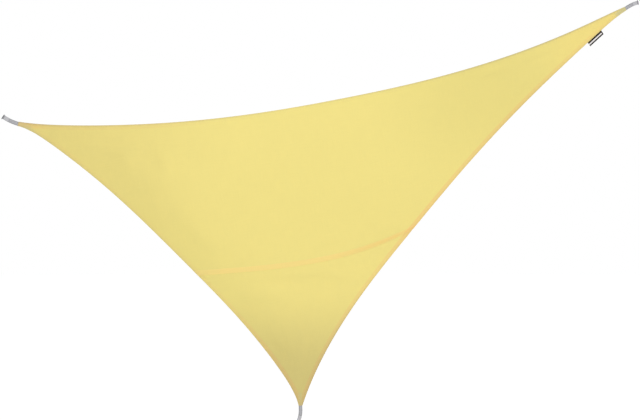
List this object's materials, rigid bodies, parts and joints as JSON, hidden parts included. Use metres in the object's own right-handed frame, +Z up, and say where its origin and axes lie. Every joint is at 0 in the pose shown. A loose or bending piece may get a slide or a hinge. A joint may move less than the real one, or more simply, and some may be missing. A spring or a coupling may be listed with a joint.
{
  "type": "triangular shade sail",
  "caption": "Triangular cloth shade sail with drawn-in hemmed edges, a lapped seam and a webbing loop with a D-ring at each corner, stretched upright for its posts.",
  "frame": {"origin": "middle of the bar of the right-hand ring, the highest of the three corners, inside the eye of its webbing loop", "axes": "+X along the sail's width to the right, +Y to its back, +Z up"},
  "size_m": [5.176, 0.0553, 3.1108],
  "materials": {
    "cloth": "plain woven polyester, pale yellow, matt",
    "webbing": "woven webbing, mid grey",
    "steel": "stainless wire, satin",
    "tape": "woven tape, off-white, blank"
  },
  "bodies": {
    "root": {"panel_upper": "cloth", "panel_lower": "cloth", "strap_left": "webbing", "strap_right": "webbing", "strap_low": "webbing", "ring_left": "steel", "ring_right": "steel", "ring_low": "steel", "label": "tape"}
  },
  "joints": []
}
